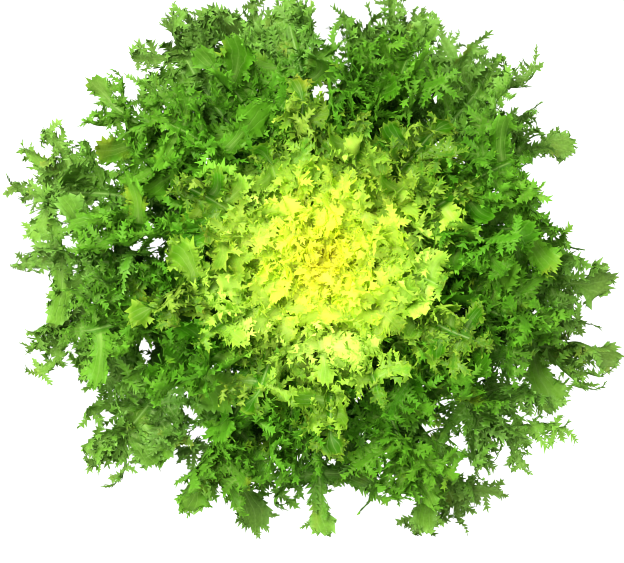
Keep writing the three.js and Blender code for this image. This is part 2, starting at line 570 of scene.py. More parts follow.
def frill_lobe(leaf, base, inner, size, side, lift, tone, along):
    """A strap with strands on both sides."""
    draw = leaf.random.uniform
    half = base_half_width(leaf, base)
    heading = heading_at(leaf, base, inner)
    form = Form(
        length=size,
        rows=even_rows(size, LOBE_SPACING, 4),
        neck=half * (draw(0.2, 0.45) + 0.3 * leaf.full),
        wide=half * (draw(0.12, 0.45) + 0.3 * leaf.full),
        curl=math.radians(draw(-25, 85)),
        late=1.3,
        sweep=side * math.radians(draw(5, 70)),
        twist=heading.turn_to_light(leaf.light) + math.radians(draw(-45, 45)),
        cup=draw(0.0, 0.4),
        ruffle=draw(0.1, 0.5),
        waves=1.7,
        gathers=(2,),
        lift=lift,
        body=0.26,
        tone=tone,
        teeth=1.9,
    )
    grown = ribbon(leaf, base, heading, form, along, reach=0.06)
    for branch_side, share, base_of, inner_of in side_sockets(grown, 2):
        if draw(0, 1) < 0.9:
            length = 2.5 + size * draw(0.16, 0.4) * (1.15 - 0.5 * share)
            strand(leaf, base_of, inner_of, length, branch_side, tone, along)
    for base_of, inner_of in end_sockets(grown):
        strand(leaf, base_of, inner_of, 2 + size * draw(0.15, 0.3), draw(-1, 1), tone, along)


def fan_lobe(leaf, base, inner, size, wide, side, lift, tone, along, curl=(-20, 60)):
    """A broad smooth lobe with strong teeth round its end."""
    draw = leaf.random.uniform
    half = base_half_width(leaf, base)
    heading = heading_at(leaf, base, inner)
    rows = even_rows(size, LOBE_SPACING, 6)
    form = Form(
        length=size,
        rows=rows,
        neck=half * draw(0.7, 1.0),
        wide=wide,
        curl=math.radians(draw(*curl)),
        late=1.4,
        sweep=side * math.radians(draw(5, 50)),
        twist=heading.turn_to_light(leaf.light) + math.radians(draw(-40, 40)),
        cup=draw(-0.15, 0.35),
        ruffle=draw(0.15, 0.4),
        waves=1.6,
        arch=draw(0.5, 1.1),
        scallop=draw(0.05, 0.25),
        forks=(rows // 2,) if wide < MANY_TEETH_FROM else (rows // 2, rows - 1),
        lift=lift,
        body=0.3,
        tone=tone,
        teeth=2.2 + 0.12 * wide,
        pale=0.8,
    )
    grown = ribbon(leaf, base, heading, form, along, reach=0.1)
    for branch_side, _, base_of, inner_of in side_sockets(grown, 2):
        if draw(0, 1) < 0.6:
            strand(leaf, base_of, inner_of, draw(2, 7), branch_side, tone, along)
    for base_of, inner_of in end_sockets(grown):
        if draw(0, 1) < 0.4:
            strand(leaf, base_of, inner_of, draw(2, 5), draw(-1, 1), tone, along)


print("a frilled lobe:", faces_of(frill_lobe, 30, 1, 0, 0, 0.5), "faces")
print("a fan:", faces_of(fan_lobe, 30, 8, 1, 0, 0, 0.5), "faces")

# %% [markdown]
# ## A whole leaf
#
# The rib follows the middle line from the solid model, with a slight wander of its own. The stalk is
# bare near the stem, then the lobes begin: short at first, longest past the middle, and shorter again
# towards the tip, where a last fan or frilled lobe ends the leaf. Here and there one is missing, most
# often near the stalk, and there the head can be seen into.


# %% How each group of leaves grows
class Habit(Facts):
    """How the leaves of one group grow. The values given here are those of the oldest leaves."""

    row_step = 2.4  # millimetres between two rows of points along the rib
    bare = 0.22  # share of the leaf that is bare stalk
    rib_half = 3.8  # half the width of the strip of blade along the rib
    stalk_half = 7.5  # half the width of the stalk at the stem
    rib_body = 2.0  # how far the rib stands out below
    foot = 2.5  # how far the stalk runs on into the stem
    roll = 0.3  # radians that the leaf rolls about its line
    wander = 3  # millimetres that it strays from its line
    stalk_teeth = 0.3  # share of the places along the stalk that have a tooth
    lobe_size = 36  # millimetres, about the length of the longest lobes
    gaps = 0.18  # share of the lobes that are missing
    fans = 0.26  # share of the lobes that are fans, away from the stalk
    lift = (-45, 50)  # degrees that a lobe is raised at its foot, the least and the most
    light = 0.5  # how far lobes turn their upper side to the sky
    full = 0.0  # how much wider straps and strands are than on the oldest leaves
    tip_size = 33  # millimetres, about the length of a fan at the tip
    fan_tips = 0.25  # share of the leaves that end in a fan
    tip_curl = (-30, 60)  # degrees that such a fan curls, the least and the most


HABITS = {
    "outer_leaf": Habit(),
    "middle_leaf": Habit(
        bare=0.26, rib_half=3.4, stalk_half=6.5, rib_body=1.8, foot=2.2,
        lobe_size=31, gaps=0.09, fans=0.28, lift=(-15, 55), light=0.55, full=0.05,
        tip_size=26, fan_tips=0.3, tip_curl=(-40, 80),
    ),
    "inner_leaf": Habit(
        row_step=2.3, bare=0.28, rib_half=3.4, stalk_half=5.0, rib_body=1.5, foot=1.8,
        roll=0.25, wander=2, stalk_teeth=0.2,
        lobe_size=22, gaps=0.05, fans=0.38, lift=(-20, 50), light=0.75, full=0.18,
        tip_size=22, fan_tips=0.5, tip_curl=(-60, 70),
    ),
    "heart_leaf": Habit(
        row_step=1.8, bare=0.4, rib_half=2.4, stalk_half=3.5, rib_body=1.0, foot=1.4,
        roll=0.25, wander=1.5, stalk_teeth=0.1,
        lobe_size=19, gaps=0, fans=0.3, lift=(-30, 40), light=0.9, full=0.62,
        tip_size=17, fan_tips=0.3, tip_curl=(-80, 50),
    ),
    "bud_leaf": Habit(
        row_step=1.7, bare=0.45, rib_half=1.2, stalk_half=2.0, rib_body=0.7, foot=1.5,
        roll=0.2, wander=1, stalk_teeth=0.0,
        lobe_size=15, gaps=0, fans=0.2, lift=(-50, 20), light=0.9, full=0.62,
        tip_size=13, fan_tips=0.2, tip_curl=(-60, 20),
    ),
}
print("longest lobes:", {group: habit.lobe_size for group, habit in HABITS.items()})

# %% Grow the rib
RIB_TAPER = 0.45  # share of its width that the strip along the rib has left at the tip
RIB_POINTS = 5  # across that strip
RIB_MIDDLE = RIB_POINTS // 2
RIB_EDGE = 1 / 1.6  # share of the strip's half width where the rib ends
RIB_ABOVE = 0.35  # how far the rib stands out above, as a share of how far it does below
BLADE_ABOVE = 0.2  # millimetres of blade above the middle surface
BLADE_BELOW = 0.25  # and below it


def smooth_line(line, count):
    """The line as evenly spaced points, with its corners rounded off."""
    corners = np.array([list(place) for place in line])
    lengths = np.concatenate([[0], np.cumsum(np.linalg.norm(np.diff(corners, axis=0), axis=1))])
    shares = np.linspace(0, lengths[-1], count)
    fitted = [np.polyval(np.polyfit(lengths, corners[:, axis], 5), shares) for axis in range(3)]
    return [Vector(place) for place in zip(*fitted)], lengths[-1]


def grow_rib(leaf, places, habit, rows, rib_share):
    """The rib with its strip of blade, along the places. Returns its rows of points."""
    wander_phase = leaf.random.uniform(0, math.tau)
    roll_phase = leaf.random.uniform(0, math.tau)
    grown = []
    for row in range(rows + 1):
        share = row / rows * rib_share
        here = places[row]
        forward = (places[row + 1] - places[max(0, row - 1)]).normalized()
        around = Vector((here.y, -here.x, 0)).normalized()
        right = (around - forward * around.dot(forward)).normalized()
        up = right.cross(forward)
        roll = habit.roll * math.sin(roll_phase + 3.0 * share) * ease(share * 2)
        turning = Quaternion(forward, roll)
        right = turning @ right
        up = turning @ up
        here = here + right * habit.wander * math.sin(wander_phase + 7 * share) * ease(share * 2)
        stalk = 1 - ease(share / habit.bare * 0.8)
        half = blend(habit.rib_half, habit.stalk_half, stalk) * blend(1, RIB_TAPER, share)
        channel = blend(0.35, 0.55, stalk)  # how deep its upper side is hollowed
        points = []
        for column in range(RIB_POINTS):
            across = column / RIB_MIDDLE - 1
            place = here + right * half * across + up * channel * half * abs(across) ** 1.5
            centred = max(0.0, 1 - abs(across) / RIB_EDGE)
            above = RIB_ABOVE * habit.rib_body * centred * (1 - share) + BLADE_ABOVE
            below = habit.rib_body * centred * (1 - 0.75 * share) + BLADE_BELOW
            paint = (share, 0.25 * abs(across), 0.0, centred)
            points.append(leaf.point(place, (above, below), paint, (across, share)))
        if grown:
            leaf.join(grown[-1], points)
        grown.append(points)
    return grown


line_lengths = [smooth_line(line, 2)[1] for line in lines.values()]
print("leaves are", round(min(line_lengths)), "to", round(max(line_lengths)), "mm long")

# %% Grow what the rib carries
SOCKET_ROWS = 4  # rows of the rib that one lobe grows from
RIB_SHORT = 0.78  # share of the tip lobe's length that the rib stops short of the line's end


def envelope(share, start):
    """How long the lobes are along the leaf, from 0 to 1."""
    blade = min(1.0, max(0.0, (share - start) / (1 - start)))
    return math.sin(math.pi * blade**0.8 * 0.86) ** 0.7


def grow_stalk_teeth(leaf, rib, habit, stalk_rows, rib_share):
    """Small teeth on the bare stalk."""
    draw = leaf.random.uniform
    for row in range(2, stalk_rows - 1, 2):
        along = row / (len(rib) - 1) * rib_share
        for _, _, base, inner in side_sockets(rib[row : row + 3], 2):
            if draw(0, 1) < habit.stalk_teeth:
                tooth(leaf, base, inner, draw(1.5, 3.5), draw(0, 0.5), 0, 0, along)


def grow_lobes(leaf, blade, habit, rib_share):
    """Frilled lobes, fans and gaps along both sides of the blade."""
    draw = leaf.random.uniform
    for side, blade_share, base, inner in side_sockets(blade, SOCKET_ROWS):
        if draw(0, 1) < habit.gaps * blend(2.5, 0.5, blade_share):
            continue
        share = habit.bare + blade_share * (rib_share - habit.bare)
        size = habit.lobe_size * envelope(share, habit.bare) * draw(0.8, 1.2) + 4
        tone = draw(-0.35, 0.35)
        lift = math.radians(draw(*habit.lift))
        if draw(0, 1) < habit.fans * ease(share * 1.4):
            wide = size * draw(0.14, 0.29)
            fan_lobe(leaf, base, inner, size * 1.1, wide, side, lift, tone - 0.1, share)
        else:
            frill_lobe(leaf, base, inner, size, side, lift, tone, share)


def grow_tip(leaf, rib, habit, size, ends_in_fan, along):
    """The lobe or fan that ends the leaf."""
    draw = leaf.random.uniform
    base = rib[-1]
    inner = rib[-2][RIB_MIDDLE]
    side = draw(-1, 1)
    tone = draw(-0.2, 0.3)
    if ends_in_fan:
        wide = size * draw(0.2, 0.38)
        fan_lobe(leaf, base, inner, size, wide, side, 0, tone, along, habit.tip_curl)
    else:
        frill_lobe(leaf, base, inner, size, side, 0, tone, along)


def grow_leaf(line, habit, seed):
    """A whole leaf along a line: the rib, teeth on its stalk, lobes along its blade, and its tip."""
    leaf = Leaf(seed, habit.light, habit.full)
    draw = leaf.random.uniform
    _, length = smooth_line(line, 2)
    ends_in_fan = draw(0, 1) < habit.fan_tips
    tip_size = habit.tip_size * (draw(0.8, 1.1) if ends_in_fan else draw(0.5, 0.75))
    rib_share = 1 - RIB_SHORT * tip_size / length
    stalk_rows = round(length * habit.bare / habit.row_step)
    lobe_count = round((length * (rib_share - habit.bare)) / habit.row_step / SOCKET_ROWS)
    rows = stalk_rows + SOCKET_ROWS * lobe_count
    places, _ = smooth_line(line, round(rows / rib_share) + 1)
    places[0] = places[0] + (places[0] - places[1]).normalized() * habit.foot
    rib = grow_rib(leaf, places, habit, rows, rib_share)
    grow_stalk_teeth(leaf, rib, habit, stalk_rows, rib_share)
    grow_lobes(leaf, rib[stalk_rows:], habit, rib_share)
    grow_tip(leaf, rib, habit, tip_size, ends_in_fan, rib_share)
    return leaf


sample_leaf = grow_leaf(lines["outer_leaf_01"], HABITS["outer_leaf"], seed=1)
print("an outer leaf:", len(sample_leaf.faces), "faces in its middle surface")

# %% [markdown]
# ## The leaf's finish
#
# The youngest leaves have had no light and are yellow; towards the rim they turn lime and then deep
# green. Every lobe also has a tone of its own, the ribs are pale, thin veins fan out towards the
# margin, a few margins are drying, and the underside is paler and duller than the top. The margins
# are tinted too, and on the outer leaves that tint is pale: a painted highlight where their edges
# catch the light. All of that is one node group, because the four sorts of leaf share it and only
# differ in a few values. It reads the paint that the mesh carries: how far along the leaf a point is,
# how near the margin, the lobe's tone and the rib.


# %% Node tools
def add_node(tree, kind, inputs=None, **settings):
    """A node with its settings, its input values and its links, in one call."""
    node = tree.nodes.new(kind)
    for name, value in settings.items():
        setattr(node, name, value)
    for key, value in (inputs or {}).items():
        if isinstance(value, bpy.types.NodeSocket):
            tree.links.new(value, node.inputs[key])
        else:
            node.inputs[key].default_value = value
    return node


def calc(tree, operation, *values, clamp=False):
    """A sum on single values, such as POWER or SINE."""
    inputs = dict(enumerate(values))
    return add_node(tree, "ShaderNodeMath", inputs, operation=operation, use_clamp=clamp).outputs[0]


# The three sums that are used most.
def plus(tree, first, second):
    return calc(tree, "ADD", first, second)


def minus(tree, first, second, clamp=False):
    return calc(tree, "SUBTRACT", first, second, clamp=clamp)


def times(tree, first, second, clamp=False):
    return calc(tree, "MULTIPLY", first, second, clamp=clamp)


def vector_calc(tree, operation, *values):
    """A node that does a sum on vectors."""
    return add_node(tree, "ShaderNodeVectorMath", dict(enumerate(values)), operation=operation)


def away_from_axis(tree, place, foot=None):
    """How far a place is, measured level, from the upright axis through the origin or through a foot."""
    level = vector_calc(tree, "MULTIPLY", place, (1, 1, 0)).outputs[0]
    if foot:
        level = vector_calc(tree, "SUBTRACT", level, foot).outputs[0]
    return vector_calc(tree, "LENGTH", level).outputs["Value"]


def noise(tree, place, scale, detail):
    """A cloudy pattern from 0 to 1. Its spots are about 1 / scale metres across."""
    inputs = {"Vector": place, "Scale": scale, "Detail": detail}
    return add_node(tree, "ShaderNodeTexNoise", inputs).outputs["Fac"]


def tint(tree, share, first, second, mode="MIX"):
    """Two colours mixed by a share."""
    inputs = {0: share, 6: first, 7: second}
    return add_node(tree, "ShaderNodeMix", inputs, data_type="RGBA", blend_type=mode).outputs[2]


def color_scale(tree, share, stops):
    """The colour at a share along a scale of (share, colour) stops."""
    node = add_node(tree, "ShaderNodeValToRGB", {0: share})
    elements = node.color_ramp.elements
    while len(elements) < len(stops):
        elements.new(0.5)
    for element, (position, color) in zip(elements, stops):
        element.position = position
        element.color = color
    return node.outputs["Color"]


def new_group(name, inputs, outputs):
    """An empty shader group, and its input and output nodes."""
    group = bpy.data.node_groups.new(name, "ShaderNodeTree")
    for title, kind, value in inputs:
        socket = group.interface.new_socket(title, in_out="INPUT", socket_type=kind)
        socket.default_value = value
    for title, kind in outputs:
        group.interface.new_socket(title, in_out="OUTPUT", socket_type=kind)
    return group, group.nodes.new("NodeGroupInput"), group.nodes.new("NodeGroupOutput")


# %% Colours from the heart to the rim
HEART_TO_RIM = [  # colours by distance from the middle of the head, in millimetres
    # the first stop is warmer and a little darker: painted warm shade deep in the middle of the heart
    (0, (0.95, 0.85, 0.18, 1)),
    (12, (0.93, 0.93, 0.215, 1)),
    (34, (0.83, 0.91, 0.25, 1)),
    (48, (0.64, 0.81, 0.19, 1)),
    (60, (0.37, 0.60, 0.07, 1)),
    (76, (0.09, 0.30, 0.008, 1)),
    (92, (0.048, 0.215, 0.003, 1)),
    (130, (0.060, 0.20, 0.006, 1)),
    (190, (0.17, 0.29, 0.050, 1)),
]
FARTHEST = 200  # millimetres
PALE_OFFSET = 6  # millimetres from the stem's axis towards -Y to the middle of the pale heart
TONE_SHIFT = 34  # millimetres that a lobe's tone moves it along that scale
UNREST = 40  # millimetres that a broad noise moves it


def heart_to_rim_color(tree, place, tone, broad):
    """The colour of the blade by its distance from the heart, unevenly."""
    away = away_from_axis(tree, place, foot=(0, -PALE_OFFSET * MM, 0))
    shift = times(tree, tone, TONE_SHIFT * MM)
    unrest = times(tree, minus(tree, broad, 0.5), UNREST * MM)
    distance = plus(tree, plus(tree, away, shift), unrest)
    share = calc(tree, "DIVIDE", distance, FARTHEST * MM, clamp=True)
    return color_scale(tree, share, [(millimetres / FARTHEST, color) for millimetres, color in HEART_TO_RIM])


print("colours at", [millimetres for millimetres, _ in HEART_TO_RIM], "mm from the heart")

# %% Parts of the leaf's skin
VEINS = 6.0  # radians of the vein pattern between the middle of a lobe and its side
VEIN_BEND = 6.0  # radians that a broad noise bends it by
BLANCHED = (0.86, 0.90, 0.62, 1)  # the rib near the stem
DRY_SCALE = 42.0  # of the noise that sets the dry patches
DRY_FROM = 0.62  # the noise has to be above this for a patch
DRY_EDGE = (0.50, 0.42, 0.04, 1)


def read_paint(tree):
    """The paint that the mesh carries, as sockets."""
    paint = add_node(tree, "ShaderNodeAttribute", attribute_name="leaf_paint")
    lobe = add_node(tree, "ShaderNodeAttribute", attribute_name="lobe_place")
    along, margin, tone = add_node(tree, "ShaderNodeSeparateColor", {0: paint.outputs["Color"]}).outputs
    across, lengthwise, upper = add_node(tree, "ShaderNodeSeparateXYZ", {0: lobe.outputs["Vector"]}).outputs
    return Facts(
        along=along, margin=margin, tone=tone, rib=paint.outputs["Alpha"],
        across=across, lengthwise=lengthwise, upper=upper,
    )


def vein_lines(tree, paint, broad):
    """Thin veins that run out to the margin, clearest on broad lobes."""
    bent = plus(tree, times(tree, paint.across, VEINS), times(tree, broad, VEIN_BEND))
    comb = calc(tree, "ABSOLUTE", calc(tree, "SINE", bent))
    line = calc(tree, "POWER", minus(tree, 1.0, comb), 4.0)
    fading = minus(tree, 1.0, times(tree, paint.lengthwise, 0.6))
    return times(tree, line, fading)


def toned(tree, color, tone, speckle):
    """The colour made lighter or darker by the lobe's tone and a fine speckle."""
    brightness = plus(tree, 1.0, times(tree, tone, -0.55))
    mottled = times(tree, brightness, plus(tree, 1.0, speckle))
    grey = add_node(tree, "ShaderNodeCombineColor", {0: mottled, 1: mottled, 2: mottled}).outputs[0]
    return tint(tree, 1.0, color, grey, "MULTIPLY")


def with_rib(tree, color, paint, rib_color):
    """The colour with the rib over it, which is blanched near the stem."""
    fading = minus(tree, 1.0, times(tree, paint.along, 0.55))
    rib_share = times(tree, calc(tree, "POWER", paint.rib, 1.5), fading)
    blanched = minus(tree, 1.0, times(tree, paint.along, 2.4), clamp=True)
    rib_color = tint(tree, blanched, rib_color, BLANCHED)
    return tint(tree, times(tree, rib_share, 0.85), color, rib_color)


def dry_share(tree, place, margin, dryness):
    """Where the margin is drying: in a few patches."""
    patches = noise(tree, place, DRY_SCALE, 2.0)
    dry = times(tree, minus(tree, patches, DRY_FROM), 9.0, clamp=True)
    return times(tree, times(tree, dry, margin), dryness)


# %% Leaf skin group
FLOAT = "NodeSocketFloat"
COLOR = "NodeSocketColor"
LEAF_SKIN_INPUTS = [
    ("Tone Strength", FLOAT, 1.0),
    ("Vein Strength", FLOAT, 1.0),
    ("Mottling", FLOAT, 0.6),
    ("Dryness", FLOAT, 0.5),
    ("Rib Color", COLOR, (0.62, 0.74, 0.28, 1)),
    ("Edge Strength", FLOAT, 0.65),
    ("Edge Color", COLOR, (0.18, 0.45, 0.035, 1)),
    ("Underside Color", COLOR, (0.14, 0.38, 0.025, 1)),
    ("Fresh Color", COLOR, (0.25, 0.47, 0.05, 1)),
]
BROAD_SCALE = 55.0  # of the noise that stirs colours and veins
CRINKLE_SCALE = 210.0  # of the relief
FINE_SCALE = 620.0  # of the speckle
ROUGHNESS = 0.33  # on top, before the speckle


def leaf_skin_group():
    """The colour, roughness and relief of every leaf."""
    outputs = [("Color", COLOR), ("Roughness", FLOAT), ("Height", FLOAT)]
    group, entry, leave = new_group("leaf_skin", LEAF_SKIN_INPUTS, outputs)
    given = entry.outputs
    paint = read_paint(group)
    place = add_node(group, "ShaderNodeNewGeometry").outputs["Position"]
    broad = noise(group, place, BROAD_SCALE, 3.0)
    fine = noise(group, place, FINE_SCALE, 4.0)
    crinkle = noise(group, place, CRINKLE_SCALE, 3.0)
    veins = times(group, vein_lines(group, paint, broad), given["Vein Strength"])
    below = minus(group, 1.0, paint.upper)

    color = heart_to_rim_color(group, place, paint.tone, broad)
    tone = times(group, paint.tone, given["Tone Strength"])
    speckle = times(group, minus(group, fine, 0.5), given["Mottling"])
    color = toned(group, color, tone, speckle)
    fresh = times(group, paint.tone, -1.2, clamp=True)  # lobes with a light tone
    color = tint(group, fresh, color, given["Fresh Color"])
    color = tint(group, times(group, veins, 0.28), color, given["Rib Color"])
    color = with_rib(group, color, paint, given["Rib Color"])
    # the margin tint; on the outer leaves it is pale, a painted highlight where their edges catch the light
    edge = times(group, calc(group, "POWER", paint.margin, 2.0), given["Edge Strength"])
    color = tint(group, edge, color, given["Edge Color"])
    dry = dry_share(group, place, paint.margin, given["Dryness"])
    color = tint(group, dry, color, DRY_EDGE)
    color = tint(group, times(group, below, 0.45), color, given["Underside Color"])

    roughness = plus(group, ROUGHNESS, times(group, below, 0.2))
    roughness = plus(group, roughness, times(group, fine, 0.12))
    height = plus(group, times(group, crinkle, 0.9), times(group, fine, 0.15))
    height = minus(group, height, times(group, veins, 0.4))
    for title, socket in {"Color": color, "Roughness": roughness, "Height": height}.items():
        group.links.new(socket, leave.inputs[title])
    return group


leaf_skin = leaf_skin_group()
print("leaf_skin has", len(leaf_skin.nodes), "nodes")

# %% [markdown]
# A leaf lets light through. A plain surface shader would make the thick of the head black, so each
# leaf material mixes a Principled shader with a Translucent one of the same colour. The blanched
# leaves of the heart are the thinnest and let the most through.


# %% Leaf materials
RELIEF = 0.6 * MM  # height of the relief
SHEEN = 0.12  # a leaf shines less than the shader's own 0.5


def leaf_material(name, through, bumps, **values):
    """A leaf's material: the share of light it lets through, the strength of its relief, skin values."""
    material, tree, shader = plain_material(name, (0.2, 0.4, 0.05), 0.45)
    shader.inputs["Specular IOR Level"].default_value = SHEEN
    skin = add_node(tree, "ShaderNodeGroup", node_tree=leaf_skin)
    for title, value in values.items():
        skin.inputs[title.replace("_", " ")].default_value = value
    relief = {"Height": skin.outputs["Height"], "Strength": bumps, "Distance": RELIEF}
    normal = add_node(tree, "ShaderNodeBump", relief).outputs["Normal"]
    tree.links.new(skin.outputs["Color"], shader.inputs["Base Color"])
    tree.links.new(skin.outputs["Roughness"], shader.inputs["Roughness"])
    tree.links.new(normal, shader.inputs["Normal"])
    passing = add_node(tree, "ShaderNodeBsdfTranslucent", {"Color": skin.outputs["Color"], "Normal": normal})
    mixed = add_node(tree, "ShaderNodeMixShader", {0: through, 1: shader.outputs[0], 2: passing.outputs[0]})
    tree.links.new(mixed.outputs[0], tree.nodes["Material Output"].inputs["Surface"])
    return material


leaf_materials = {
    "outer_leaf": leaf_material(
        "deep_green_leaf",
        through=0.34,
        bumps=1.0,
        Tone_Strength=1.35,
        Mottling=0.95,
        Rib_Color=(0.44, 0.64, 0.20, 1),
        # a pale margin colour: painted highlight on the outer leaves' edges
        Edge_Color=(0.34, 0.56, 0.16, 1),
    ),
    "middle_leaf": leaf_material(
        "mid_green_leaf",
        through=0.38,
        bumps=0.8,
        Rib_Color=(0.46, 0.66, 0.18, 1),
    ),
    "inner_leaf": leaf_material(
        "lime_leaf",
        through=0.5,
        bumps=0.5,
        Tone_Strength=0.6,
        Mottling=0.3,
        Rib_Color=(0.72, 0.86, 0.34, 1),
        Edge_Strength=0.25,
        Edge_Color=(0.50, 0.76, 0.05, 1),
        Underside_Color=(0.62, 0.76, 0.12, 1),
        Fresh_Color=(0.56, 0.80, 0.08, 1),
    ),
    "heart_leaf": leaf_material(
        "yellow_heart_leaf",
        through=0.78,
        bumps=0.1,
        Tone_Strength=0.15,
        Mottling=0.1,
        Rib_Color=(0.96, 0.94, 0.34, 1),
        Edge_Strength=0.4,
        Edge_Color=(0.80, 0.85, 0.22, 1),
        Underside_Color=(0.93, 0.94, 0.12, 1),
        Fresh_Color=(0.68, 0.92, 0.14, 1),
    ),
}
print("materials:", sorted(material.name for material in leaf_materials.values()))

# %% [markdown]
# ## From a surface to a solid
#
# A modifier could thicken the leaf evenly, but a real rib is thick and a margin is thin, so each point
# is given a thickness of its own here. The normals of the middle surface come from its faces. Each
# inner point becomes two, one above and one below; a point on the margin stays one. The margin's edges
# are marked sharp, so that light falls off at the edge of the leaf and doesn't bend round it. In a
# tight fold a small face can lie almost across the smooth surface round it. Smooth shading would turn
# it black, so such faces stay flat.

# %% Points and faces of a solid leaf
FLOOR_SOFT = 0.8  # millimetres above the table where a point starts to be held up
FLOOR_LEAST = 0.3  # the lowest that it can be


def above_table(height):
    """Holds up what would go through the table."""
    give = FLOOR_SOFT - FLOOR_LEAST
    held_up = FLOOR_LEAST + give * np.exp((np.minimum(height, FLOOR_SOFT) - FLOOR_SOFT) / give)
    return np.where(height > FLOOR_SOFT, height, held_up)


def margin_of(faces):
    """The edges that only one face uses."""
    uses = {}
    for face in faces:
        for start, end in zip(face, face[1:] + face[:1]):
            key = (min(start, end), max(start, end))
            uses[key] = uses.get(key, 0) + 1
    return {key for key, count in uses.items() if count == 1}


def split_squares(faces, places, on_margin):
    """Triangles: each four-sided face is cut along its shorter diagonal, never from margin to margin."""
    squares = np.array([face for face in faces if len(face) == 4])
    corners = places[squares]
    first_length = np.linalg.norm(corners[:, 0] - corners[:, 2], axis=1)
    second_length = np.linalg.norm(corners[:, 1] - corners[:, 3], axis=1)
    first_length[on_margin[squares[:, 0]] & on_margin[squares[:, 2]]] = np.inf
    second_length[on_margin[squares[:, 1]] & on_margin[squares[:, 3]]] = np.inf
    turned = first_length > second_length
    squares[turned] = np.roll(squares[turned], -1, axis=1)
    triangles = np.array([face for face in faces if len(face) == 3])
    return np.concatenate([triangles.reshape(-1, 3), squares[:, :3], squares[:, [2, 3, 0]]])


def point_normals(places, triangles):
    """Which way is up at each point, from the faces round it."""
    normals = np.zeros_like(places)
    corners = places[triangles]
    crossed = np.cross(corners[:, 1] - corners[:, 0], corners[:, 2] - corners[:, 0])
    for corner in range(3):
        np.add.at(normals, triangles[:, corner], crossed)
    return normals / np.maximum(np.linalg.norm(normals, axis=1, keepdims=True), 1e-9)


low_points = np.array([-5.0, 0.0, 2.0])
print("points at", low_points, "mm are held up to", above_table(low_points).round(2), "mm")

# %% Make the mesh of a leaf
FOLDED = 0.5  # least cosine between a face and its smooth normals


def set_attribute(mesh, name, kind, domain, field, values):
    mesh.attributes.new(name, kind, domain).data.foreach_set(field, np.ascontiguousarray(values).ravel())


def mark_margin(mesh, margin_edges):
    """Makes the edges of the margin sharp."""
    ends = np.empty(len(mesh.edges) * 2, np.int32)
    mesh.edges.foreach_get("vertices", ends)
    pairs = ends.reshape(-1, 2).tolist()
    sharp = np.array([(min(pair), max(pair)) in margin_edges for pair in pairs])
    set_attribute(mesh, "sharp_edge", "BOOLEAN", "EDGE", "value", sharp)


def flatten_folds(mesh):
    """Takes smooth shading off the faces that it would turn away from the light."""
    corner_normals = np.empty(len(mesh.loops) * 3, np.float32)
    mesh.corner_normals.foreach_get("vector", corner_normals)
    face_normals = np.empty(len(mesh.polygons) * 3, np.float32)
    mesh.polygon_normals.foreach_get("vector", face_normals)
    agreement = (corner_normals.reshape(-1, 3, 3) * face_normals.reshape(-1, 1, 3)).sum(axis=2).min(axis=1)
    set_attribute(mesh, "sharp_face", "BOOLEAN", "FACE", "value", agreement < FOLDED)


def solid_mesh(name, leaf):
    """A closed mesh of the leaf, in metres, with its paint as attributes."""
    places = np.array([list(place) for place in leaf.places])
    margin_edges = margin_of(leaf.faces)
    on_margin = np.zeros(len(places), bool)
    on_margin[list({point for edge in margin_edges for point in edge})] = True
    triangles = split_squares(leaf.faces, places, on_margin)
    normals = point_normals(places, triangles)
    body = np.array(leaf.body)
    body[on_margin] = 0
    inner = np.flatnonzero(~on_margin)
    upper = places + normals * body[:, :1]
    lower = (places - normals * body[:, 1:])[inner]
    below = np.arange(len(places))
    below[inner] = len(places) + np.arange(len(inner))
    vertices = np.concatenate([upper, lower])
    vertices[:, 2] = above_table(vertices[:, 2])
    both_sides = np.concatenate([triangles, below[triangles[:, ::-1]]])

    mesh = bpy.data.meshes.new(name)
    mesh.from_pydata(vertices * MM, [], both_sides.tolist())
    mesh.shade_smooth()
    source = np.concatenate([np.arange(len(places)), inner])
    facing_up = np.concatenate([np.where(on_margin, 0.5, 1.0), np.zeros(len(inner))])
    paint = np.array(leaf.paint, np.float32)[source]
    lobe = np.concatenate([np.array(leaf.lobe)[source], facing_up[:, None]], axis=1)
    set_attribute(mesh, "leaf_paint", "FLOAT_COLOR", "POINT", "color", paint)
    set_attribute(mesh, "lobe_place", "FLOAT_VECTOR", "POINT", "vector", lobe.astype(np.float32))
    mark_margin(mesh, margin_edges)
    flatten_folds(mesh)
    return mesh


# %% Grow all the leaves
LEAF_SEED = 3100  # seed of the first leaf's own random numbers


def place_piece(mesh, material, node):
    """An object of the mesh that moves with the head and takes a solid's place."""
    piece = bpy.data.objects.new(mesh.name, mesh)
    scene.collection.objects.link(piece)
    mesh.materials.append(material)
    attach(piece, "root")
    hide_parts(node)
    return piece


triangles = 0
for index, node in enumerate(leaf_nodes):
    group = node[: node.rindex("_")]
    leaf = grow_leaf(lines[node], HABITS[group], seed=LEAF_SEED + index)
    mesh = solid_mesh(node + "_curled", leaf)
    place_piece(mesh, leaf_materials[group], node)
    count = len(mesh.polygons)
    triangles += count
    if index % 12 == 0:
        print(node, count, "triangles")
print(triangles, "triangles in", len(leaf_nodes), "leaves")

# %% [markdown]
# ## The bud
#
# In the solid model the very heart is one closed bud. On the real head it is the youngest leaves,
# still packed together, with only their frilled ends standing free. They are grown like the others,
# along short lines that rise from the top of the stem and open at the end. Every third one opens the
# other way, across the middle, so that no hole is left there.

# %% Grow the bud
BUD_LEAVES = 20
BUD_SEED = 3400  # seed of the first one's own random numbers
BUD_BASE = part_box("heart_bud")[0][2] / MM  # height of their feet
BUD_FOOT = 1.5  # millimetres from the axis to a leaf's foot
BUD_LENGTHS = (78, 72)  # millimetres, the outermost and the innermost leaf
BUD_SPREADS = (85, 60)  # degrees that they open by at the end
BUD_LEAN = math.radians(4)  # at the foot
BUD_STEPS = 12  # along a leaf
GOLDEN_ANGLE = math.radians(137.508)  # from one leaf to the next


